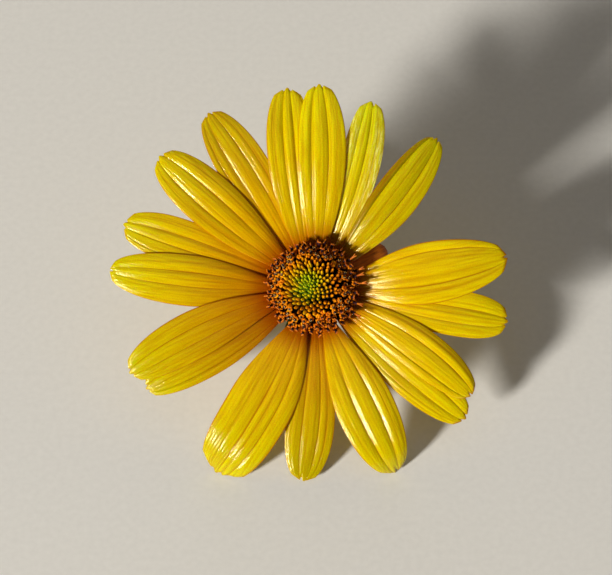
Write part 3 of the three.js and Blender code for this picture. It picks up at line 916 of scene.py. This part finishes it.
for stand in stands:
    if stand["whorl"].startswith("floret_buds"):
        half_width = mix(*BUD_HALF_WIDTHS, stand["share"] / BUDS_END) * chance.uniform(*BUD_VARIETY)
        profile = [(r * half_width, h * length_of(stand)) for r, h in BUD_SHAPE]
        clusters[stand["whorl"]].add(stand, *turned(profile, dent=BUD_DENT))
print(sum(len(c.faces) for c in clusters.values()), "faces in the buds")

# %% [markdown]
# An opening floret is a slender trumpet. Its five lobes stand up at first and curl back later, and
# a dark tube of anthers is pushed out between them. Pollen lies on the tube's rim in the younger
# ones. In the older ones two orange stigmas have grown through it and curled apart.

# %% The parts of an open floret
LOBE_LENGTH, LOBE_THICKNESS, LOBE_STEPS = 0.4, 0.25, 7
ARM_RADII, ARM_STEPS = (0.15, 0.09), 9
ROUND = 6  # points round a lobe or a grain
GRAIN_SHAPE = [(0.02, 0), (0.06, 0.03), (0.06, 0.07), (0.02, 0.1)]  # radius and height
GRAIN_PLACE = 0.17  # mm from the floret's axis


def arc(length, curl, steps):
    """Shares of the way along a curl, and how far out and up each is, in mm."""
    t = np.linspace(0, 1, steps)
    return t, length * (1 - np.cos(curl * t)) / curl, length * np.sin(curl * t) / curl


def trumpet(mouth, start):
    """The floret's body, which is hollow at its mouth and start mm high."""
    return turned([
        (0.15, 0), (0.15, 0.35 * start), (0.19, 0.6 * start), (0.24, 0.8 * start),
        (mouth, start), (mouth * 0.8, start + 0.01), (mouth * 0.7, 0.85 * start),
    ], dent=0.1)


def lobe(mouth, start, curl, phi):
    """One fleshy lobe: it leaves the mouth at height start and curls outwards by curl radians."""
    t, out, rise = arc(LOBE_LENGTH, curl, LOBE_STEPS)
    path = polar(mouth + out, phi, start + rise)
    swelling = mix(0.6, 1, smooth(0.1, 0.65, t)) * np.sqrt(1 - 0.95 * smooth(0.6, 1, t))
    points, faces = tube(path, LOBE_THICKNESS * swelling)
    return points, faces, np.repeat(mix(0.62, 1.0, smooth(0.1, 0.8, t)), ROUND)


def anther_tube(start, top):
    """The tube of anthers, which widens to its rim at the top."""
    return turned([
        (0.12, 0.5 * start), (0.16, start), (0.25, mix(start, top, 0.7)), (0.28, top - 0.08),
        (0.22, top), (0.08, top - 0.02),
    ], around=10, dent=0.25)


def stigma_arm(start, length, curl, phi):
    """One thread that leaves the anther tube and curls outwards and down."""
    t, out, rise = arc(length, curl, ARM_STEPS)
    return tube(polar(out, phi, start + rise) + [0.05, 0, 0], mix(*ARM_RADII, t))


def pollen_grain(top, phi):
    """A grain on the rim of the anther tube, larger than a real one, which wouldn't show."""
    points, faces = turned(GRAIN_SHAPE, around=ROUND)
    return points + polar(np.array(GRAIN_PLACE), phi, top - 0.06), faces


print("a lobe has", len(lobe(0.3, 1, 1, 0)[1]), "faces")

# %% [markdown]
# How open a floret is follows from its age, which grows towards the rim. Everything about it then
# strays a little, so that no two are alike. At the right of the rim the stigmas are long and reach
# out over the petals.

# %% Open florets
GRAINS = 4
PUSHED_OUT, OLD = 0.05, 0.5  # the ages at which the anthers and the stigmas come out
MOUTHS, CURLS, TUBES = (0.22, 0.3), (0.3, 1.7), (0.98, 1.08)  # in young and in old florets
MOUTH_HEIGHTS, MOUTH_VARIETY = (0.76, 0.84), (0.9, 1.1)
AGE_CHANCE, CURL_CHANCE = 0.15, 0.25
LOBE_TURN, LOBE_CURL, LOBE_TINT = 0.12, 0.15, 0.1  # how far each lobe strays from its floret
REACHING_FROM = 0.93  # share of the radius
REACHING_SIDE, REACHING_SPREAD = 0.1, 0.75  # the middle of that side, and a cosine for its ends
REACHING_ARMS = (0.5, -0.4)  # where its two arms point, in radians from outwards
ARM_LENGTHS, ARM_CURLS = ((0.35, 0.65), (1.1, 1.6)), ((2.0, 3.4), (0.5, 1.2))  # plain and reaching

anthers, stigmas, pollen = Cluster(), Cluster(), Cluster()
for stand in stands:
    if stand["share"] < BUDS_END:
        continue
    age = (stand["share"] - BUDS_END) / (1 - BUDS_END) + chance.normal(0, AGE_CHANCE)
    ripe = float(np.clip(age, 0, 1))
    mouth = mix(*MOUTHS, ripe) * chance.uniform(*MOUTH_VARIETY)
    start = length_of(stand) * chance.uniform(*MOUTH_HEIGHTS)
    spin = chance.uniform(0, 2 * np.pi)
    cluster = clusters[stand["whorl"]]
    cluster.add(stand, *trumpet(mouth, start))
    curl = max(0.2, mix(*CURLS, ripe) + chance.normal(0, CURL_CHANCE))
    for k in range(LOBES):
        phi = spin + k * 2 * np.pi / LOBES + chance.normal(0, LOBE_TURN)
        points, faces, height = lobe(mouth, start, curl + chance.normal(0, LOBE_CURL), phi)
        cluster.add(stand, points, faces, height, stand["ripeness"] + chance.normal(0, LOBE_TINT))
    if age <= PUSHED_OUT:
        continue
    top = length_of(stand) * mix(*TUBES, ripe)
    anthers.add(stand, *anther_tube(start, top))
    if age > OLD:
        sideways = math.cos(stand["angle"] - REACHING_SIDE)
        reaching = stand["share"] > REACHING_FROM and sideways > REACHING_SPREAD
        arm = chance.uniform(*ARM_LENGTHS[reaching])
        turn = chance.uniform(0, np.pi)
        for phi in REACHING_ARMS if reaching else (turn, turn + np.pi):
            stigmas.add(stand, *stigma_arm(top - 0.1, arm, chance.uniform(*ARM_CURLS[reaching]), phi))
    else:
        for k in range(GRAINS):
            pollen.add(stand, *pollen_grain(top, chance.uniform(0, 2 * np.pi)))
for part, name in ((anthers, "anther tubes"), (stigmas, "stigma arms"), (pollen, "pollen grains")):
    print(len(part.points), name)

# %% [markdown]
# Between the florets stand chaffy scales, one behind each. They are dull, and their near-black is
# painted shade: from the front they only show as the darkness that sets the florets apart. Dark
# ground under the florets could give that too, but it would be bare between them from the side.

# %% Chaff
CHAFF_ROWS, CHAFF_COLUMNS = 8, 4
CHAFF_BEHIND = 0.42  # mm from the floret's axis
CHAFF_HOLLOW, CHAFF_THICKNESS = 0.25, 0.05
CHAFF_WIDTHS = (0.5, 1.0)  # mm, in the middle of the disc and at its rim
CHAFF_TAPER = (0.35, 0.97)  # the stretch of a sine's half wave that its width follows
CHAFF_LENGTHS = (0.68, 0.84)  # shares of the floret's length


def scale_leaf(width, length):
    """A pointed, hollow scale behind a floret, drawn upright."""
    t, v = grid(CHAFF_ROWS, CHAFF_COLUMNS)
    half = width / 2 * v * np.sin(mix(*CHAFF_TAPER, t) * np.pi)
    x = CHAFF_BEHIND - CHAFF_HOLLOW * width * v**2
    top = np.stack([x, half, t * length], -1).reshape(-1, 3)
    faces = sheet_faces(CHAFF_ROWS + 1, CHAFF_COLUMNS + 1).tolist()
    return np.concatenate([top, top + [CHAFF_THICKNESS, 0, 0]]), faces


chaff = Cluster()
for stand in stands:
    length = length_of(stand) * chance.uniform(*CHAFF_LENGTHS)
    chaff.add(stand, *scale_leaf(mix(*CHAFF_WIDTHS, stand["share"]), length))
print(len(chaff.faces), "faces in the chaff")

# %% [markdown]
# The florets' flesh is like the petals', but duller and deeper. Its colour depends on two numbers:
# how ripe the floret is, and how high up a point lies on it. The feet are green and dark, and their
# dark browns further out are painted shade in the deep gaps between the florets. The tips catch the
# light. Five materials could do this for five whorls, but with one that reads the ripeness the
# colours run on from whorl to whorl.

# %% Floret flesh
FLESH_FLECKS = 1.5  # flecks in a millimetre; real ones are finer than the picture
TIPS_FROM, TIPS_FULL = 0.62, 0.98  # shares of a floret's height where its tip's colour comes in


def floret_flesh():
    """Floret flesh: half matte, from green through yellow and orange to a rusty brown, with feet painted
    dark as shade.
    """
    material, tree = new_material("matte_floret_flesh")
    ripeness, height = (
        node(tree, "ShaderNodeAttribute", attribute_name=name) for name in ("ripeness", "height")
    )
    coordinates = node(tree, "ShaderNodeTexCoord")
    mottle = node(tree, "ShaderNodeTexNoise", {
        "Vector": (coordinates, "Object"), "Scale": FLESH_FLECKS / MM, "Detail": 2,
    })
    tips = node(tree, "ShaderNodeValToRGB", {"Fac": (ripeness, "Fac")}, [
        (0.0, "#A4C81C"), (0.2, "#EEE014"), (0.4, "#FAC00C"), (0.6, "#F4920A"),
        (0.8, "#DC740C"), (0.9, "#CC5A0A"), (1.0, "#E8820E"),
    ])
    # the feet's dark colours are painted shade in the gaps between the florets
    feet = node(tree, "ShaderNodeValToRGB", {"Fac": (ripeness, "Fac")}, [
        (0.0, "#5FA61C"), (0.2, "#4A800E"), (0.4, "#5E4A08"), (0.7, "#4A1C06"), (1.0, "#4A1806"),
    ])
    up = node(tree, "ShaderNodeMapRange", {
        "Value": (height, "Fac"), "From Min": TIPS_FROM, "From Max": TIPS_FULL,
    }, interpolation_type="SMOOTHSTEP")
    grown = node(tree, "ShaderNodeMix", {
        "Factor": (up, "Result"), 6: (feet, "Color"), 7: (tips, "Color"),
    }, data_type="RGBA")
    flecked = shaded(tree, (grown, 2), (mottle, "Fac"), 0.5, (0.3, "#B08A60"), (0.6, "#FFFFFF"))
    shader = node(tree, "ShaderNodeBsdfPrincipled", {
        "Base Color": flecked, "Roughness": 0.4, "IOR": 1.42, "Specular Tint": "#FFC860",
    })
    return finished(material, shader)


flesh = floret_flesh()
print(flesh.name, "has", len(flesh.node_tree.nodes), "nodes")

# %% [markdown]
# Anthers, stigmas and pollen are dry, so they have hardly any gloss. Each kind varies between two
# colours, and one function makes all three materials from them. Chaff is dry too, but its colour
# follows its ripeness, from fresh green in the middle of the disc to nearly black at the rim, which
# is painted shade between the florets.

# %% Dry tissues
DRY_FLECKS = 1.1  # flecks in a millimetre; real ones are finer than the picture


def dull_tissue(name, dark, light, roughness):
    """Plain dry tissue, with hardly any gloss, that varies between two colours."""
    material, tree = new_material(name)
    coordinates = node(tree, "ShaderNodeTexCoord")
    mottle = node(tree, "ShaderNodeTexNoise", {
        "Vector": (coordinates, "Object"), "Scale": DRY_FLECKS / MM, "Detail": 3,
    })
    shades = node(tree, "ShaderNodeValToRGB", {"Fac": (mottle, "Fac")}, [(0.35, dark), (0.65, light)])
    shader = node(tree, "ShaderNodeBsdfPrincipled", {
        "Base Color": (shades, "Color"), "Roughness": roughness, "Specular IOR Level": 0.25,
    })
    return finished(material, shader)


def chaff_skin():
    """Chaff: green and fresh in the middle of the disc, nearly black further out as painted shade."""
    material, tree = new_material("dry_chaff")
    ripeness = node(tree, "ShaderNodeAttribute", attribute_name="ripeness")
    # the dark browns further out are painted shade between the florets
    body = node(tree, "ShaderNodeValToRGB", {"Fac": (ripeness, "Fac")}, [
        (0.0, "#6CB428"), (0.2, "#447C14"), (0.42, "#3A3C0E"), (0.7, "#40200A"), (1.0, "#301208"),
    ])
    shader = node(tree, "ShaderNodeBsdfPrincipled", {"Base Color": (body, "Color"), "Roughness": 0.65})
    return finished(material, shader)


anther_skin = dull_tissue("dark_anthers", "#180C12", "#321420", 0.5)
stigma_skin = dull_tissue("orange_stigmas", "#A4480A", "#DC7C10", 0.5)
pollen_skin = dull_tissue("yellow_pollen", "#E89C20", "#F4D890", 0.7)
print("three dry tissues vary", DRY_FLECKS, "times in a millimetre")

# %% [markdown]
# Now each cluster becomes a piece. The five whorls replace their plain solids. Anthers, stigmas,
# pollen and chaff have no plain solid of their own, so they are extra pieces.

# %% The disc's pieces
SLOTS = {
    "floret_buds_green": "floret_green", "floret_buds_yellow": "floret_yellow",
    "floret_buds_orange": "floret_orange", "florets_opening": "floret_open", "florets_open": "floret_open",
}
for name, cluster in clusters.items():
    cluster.piece(name + "_fine", flesh, SLOTS[name], [name])
anthers.piece("anther_tubes", anther_skin, "floret_open")
stigmas.piece("stigmas", stigma_skin, "floret_open")
pollen.piece("pollen_grains", pollen_skin, "floret_open")
chaff.piece("chaff_scales", chaff_skin(), "floret_green")

# %% [markdown]
# ## Behind the petals
# The back of the flower isn't in the photograph, so it follows what such a flower has: a shallow
# green cup, with two rings of leafy bracts that hold the petals' roots, on a ribbed stem. All of it
# is one kind of tissue: fibrous, slightly waxy and so half matte, and darker between its fibres. The
# petals' streaks serve again, because fibres are streaks too.

# %% Green tissue
FIBRE_SPACING, FIBRE_RUN = 0.3, 3.0  # mm across and along a fibre
FIBRE_RELIEF = 0.08  # mm


def green_skin(name, dark, light, tip, roughness):
    """Leafy tissue: darker between its fibres, and another colour towards its end."""
    material, tree = new_material(name)
    along = node(tree, "ShaderNodeAttribute", attribute_name="along")
    fibres = streaks(tree, FIBRE_SPACING, FIBRE_RUN, 4.0)
    body = node(tree, "ShaderNodeValToRGB", {"Fac": (fibres, "Fac")}, [(0.32, dark), (0.66, light)])
    toned = node(tree, "ShaderNodeMix", {
        "Factor": (along, "Fac"), 6: (body, "Color"), 7: tip,
    }, data_type="RGBA")
    relief = node(tree, "ShaderNodeBump", {
        "Height": (fibres, "Fac"), "Strength": 0.5, "Distance": FIBRE_RELIEF * MM,
    })
    shader = node(tree, "ShaderNodeBsdfPrincipled", {
        "Base Color": (toned, 2), "Roughness": roughness, "Normal": (relief, "Normal"),
    })
    return finished(material, shader)


leaf = green_skin("green_bract", "#3E5A1E", "#6C8A34", "#8C9A3C", 0.55)
print(leaf.name, "has fibres", FIBRE_SPACING, "mm apart")

# %% [markdown]
# A bract is a small thick leaf that grows from under the cup and bends outwards. It is a strip like
# a petal, so the same function shapes it, along a smooth curve through five points of the plain
# bract. The outer ones stand off, and the inner ones lie against the cup.

# %% Bracts
BRACTS = 8
BRACT_ROWS, BRACT_COLUMNS = 40, 18
BRACT_ENDS = (0.002, 0.998)  # the leaf starts and stops just inside its line's ends
OUTER_BRACT = dict(
    first=20, width=3.0, path=[(2.7, -6.3), (4.8, -5.15), (7.2, -3.8), (8.8, -3.0), (9.8, -2.6)],
)
INNER_BRACT = dict(
    first=42.5, width=2.9, path=[(3.2, -5.3), (4.4, -4.45), (5.45, -3.5), (6.1, -2.7), (6.35, -2.3)],
)
BRACT_TAPER = (0.13, 0.93)  # the stretch of a sine's half wave that its width follows
BRACT_TROUGH = 0.3
BRACT_THICKNESS = 0.34
MIDRIB, MIDRIB_WIDTH, SIDE_RIBS = 0.1, 0.1, 0.04  # depth and width of its middle rib, and the others
PALE_TIP, PALE_FROM = 0.5, 0.5  # how pale its tip turns, and from what share of the length on
BRACT_LENGTH, BRACTS_APART = 8, 9  # mm in the noise


def through(path, u):
    """A smooth curve through the path's points, at u from 0 to 1."""
    path = np.array(path, float)
    ends = np.vstack([2 * path[0] - path[1], path, 2 * path[-1] - path[-2]])
    at = np.clip(u, 0, 1) * (len(path) - 1)
    i = np.minimum(at.astype(int), len(path) - 2)
    t = (at - i)[..., None]
    a, b, c, d = (ends[i + k] for k in range(4))
    return b + t * (c - a) / 2 + t**2 * (a - 2.5 * b + 2 * c - d / 2) + t**3 * (1.5 * (b - c) + (d - a) / 2)


def bract_piece(series, kind, number):
    u, v = grid(BRACT_ROWS, BRACT_COLUMNS, *BRACT_ENDS)
    angle = math.radians(kind["first"] + (number - 1) * 360 / BRACTS)

    def middle(a, b):
        radius, z = np.moveaxis(through(kind["path"], a), -1, 0)
        return polar(radius, angle, z)

    aside = v * kind["width"] * np.sin(mix(*BRACT_TAPER, u) * np.pi) / 2
    ribs = -MIDRIB * np.exp(-((v / MIDRIB_WIDTH) ** 2)) - SIDE_RIBS * np.cos(5 * np.pi * v)
    height = BRACT_TROUGH * v**2 + ribs * np.sin(np.pi * u)
    half = BRACT_THICKNESS / 2 * thinned(u, v, sides=0.25, tip=0.4, tip_from=0.9)
    spot = np.stack([aside, u * BRACT_LENGTH, np.full_like(u, BRACTS_APART * number)], -1)
    solid = f"bract_{series}_{number}"
    points = strip(u, v, middle, aside, height, half)
    pale = PALE_TIP * smooth(PALE_FROM, 1, u)
    piece = new_sheet(solid + "_fine", u.shape, points, leaf, "bract", solid, along=pale, place=spot)
    compare(piece, solid)


for series, kind in (("outer", OUTER_BRACT), ("inner", INNER_BRACT)):
    for number in range(1, BRACTS + 1):
        bract_piece(series, kind, number)

# %% [markdown]
# The cup is turned, and ribbed where the bracts grow from it. A Screw modifier would turn it too,
# but rings of points take the ribs and the colour as well. Its domed top lies in the dark between
# the florets, so it is nearly black there.

# %% Cup
CUP_PROFILE = [  # radius and height
    (0.02, -6.2), (1.2, -6.2), (1.65, -6.15), (2.4, -5.2), (3.6, -4.1), (4.7, -2.9), (5.1, -1.8),
    (5.2, -0.6), (5.2, 0.4), (5.1, 1.2), (4.6, 1.73), (3.8, 2.6), (2.6, 3.47), (1.3, 4.07), (0.02, 4.29),
]
CUP_WIDEST = 5.2
CUP_ROWS, CUP_AROUND = 90, 120
CUP_RIB = 0.02  # depth of its ribs, as a share of the radius
RIBS_FROM, RIBS_TO = (-6.1, -4.5), (-2.5, 0)  # heights at which the ribs begin and end
DARK = (0.6, 1.6)  # heights between which the cup turns dark
FIBRES_ROUND = 4  # mm of fibres in each radian round the cup


def cup_piece():
    radius, z = np.moveaxis(through(CUP_PROFILE, np.linspace(0, 1, CUP_ROWS)), -1, 0)[..., None]
    angle = np.arange(CUP_AROUND) * 2 * np.pi / CUP_AROUND
    ribbed = smooth(*RIBS_FROM, z) * (1 - smooth(*RIBS_TO, z))
    r = np.minimum(radius, CUP_WIDEST) * (1 - CUP_RIB * ribbed * (1 + np.cos(2 * BRACTS * angle)))
    spot = np.stack([angle * FIBRES_ROUND + 0 * r, z + 0 * r, 0 * r], -1)
    return new_piece(
        "receptacle_fine", polar(r, angle, z).reshape(-1, 3), ring_faces(CUP_ROWS, CUP_AROUND),
        green_skin("green_receptacle", "#4A6624", "#7A9440", "#10140A", 0.6), "receptacle",
        ["receptacle"], along=(smooth(*DARK, z) + 0 * r).ravel(), place=spot.reshape(-1, 3),
    )


compare(cup_piece(), "receptacle")

# %% [markdown]
# The stem bows, has soft ribs and swells under the head. It is a tube of rings that starts with a
# few rings across the cut, which slants so that it lies flat on the floor. A bevelled curve could
# be a stem too, but it would have no ribs. The cut shows a green rind round paler, spongy pith.

# %% Stem
STEM_LENGTH, STEM_TOP = 13.5, -6.5
STEM_RADIUS, STEM_SWELLING, STEM_BOW = 1.35, 0.4, 1.0
SWELLING_POWER = 8  # a high power keeps the swelling close to the head
STEM_RIBS, STEM_RIB, RIB_TURN = 9, 0.045, 1.2  # their number, depth, and turn in radians
CUT_RINGS, STEM_ROWS, STEM_AROUND = 7, 90, 72
CUT_SHARE = 0.12  # the share of the length over which the slant of the cut fades
RIND = (0.75, 0.9)  # shares of the radius between which pith turns to rind


def stem_piece():
    share = np.concatenate([np.zeros(CUT_RINGS), np.linspace(0, 1, STEM_ROWS), np.ones(1)])[:, None]
    inward = np.concatenate([np.linspace(0.05, 0.97, CUT_RINGS), np.ones(STEM_ROWS), [0.3]])[:, None]
    angle = np.arange(STEM_AROUND) * 2 * np.pi / STEM_AROUND
    ribs = 1 - STEM_RIB * (1 + np.cos(STEM_RIBS * angle + RIB_TURN * share))
    r = (STEM_RADIUS + STEM_SWELLING * share**SWELLING_POWER) * inward * ribs
    slope = -math.tan(LEAN) * (1 - smooth(0, CUT_SHARE, share))
    z = STEM_TOP - STEM_LENGTH * (1 - share) + slope * r * np.sin(angle)
    points = polar(r, angle, z)
    points[..., 0] += STEM_BOW * np.sin(share * np.pi)
    pith = np.where(share == 0, 1 - smooth(*RIND, inward), 0) + 0 * r
    spot = np.stack([angle * STEM_RADIUS + 0 * r, share * STEM_LENGTH + 0 * r, inward + 0 * r], -1)
    return new_piece(
        "stem_fine", points.reshape(-1, 3), ring_faces(len(share), STEM_AROUND),
        green_skin("green_stem", "#3C5420", "#64803A", "#C9CFA0", 0.5), "stem",
        ["stem"], along=pith.ravel(), place=spot.reshape(-1, 3),
    )


compare(stem_piece(), "stem")
